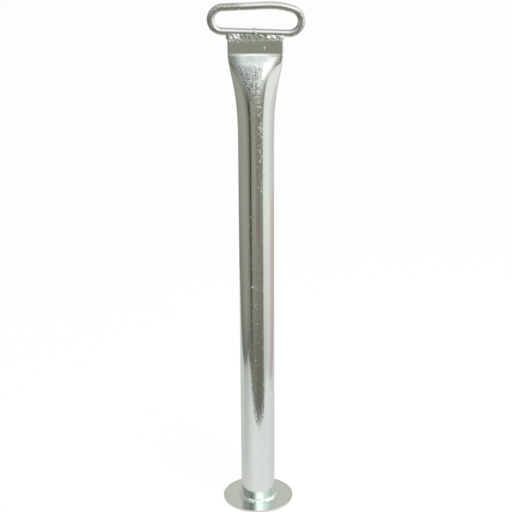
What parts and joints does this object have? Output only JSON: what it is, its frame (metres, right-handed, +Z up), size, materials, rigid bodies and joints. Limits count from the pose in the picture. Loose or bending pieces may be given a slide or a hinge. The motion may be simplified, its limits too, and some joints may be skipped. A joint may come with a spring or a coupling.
{
  "type": "trailer prop stand",
  "caption": "Zinc-plated tubular prop stand: a straight steel leg on a flat round foot, pressed flat at the top under a bent bar handle.",
  "frame": {"origin": "centre of the underside of the round foot, on the floor", "axes": "+Z up along the tube's axis, +X along the handle towards its wider end, -Y towards the side that the picture shows"},
  "size_m": [0.1276, 0.1, 0.7174],
  "materials": {
    "zinc_plated_steel": "bright zinc plating on drawn steel, lightly scratched and speckled",
    "zinc_plated_weld": "bright zinc plating over rough weld metal"
  },
  "bodies": {
    "root": {"foot_plate": "zinc_plated_steel", "leg_tube": "zinc_plated_steel", "foot_weld": "zinc_plated_weld", "handle_loop": "zinc_plated_steel", "loop_joint_weld": "zinc_plated_weld", "handle_weld_front": "zinc_plated_weld", "handle_weld_rear": "zinc_plated_weld"}
  },
  "joints": []
}
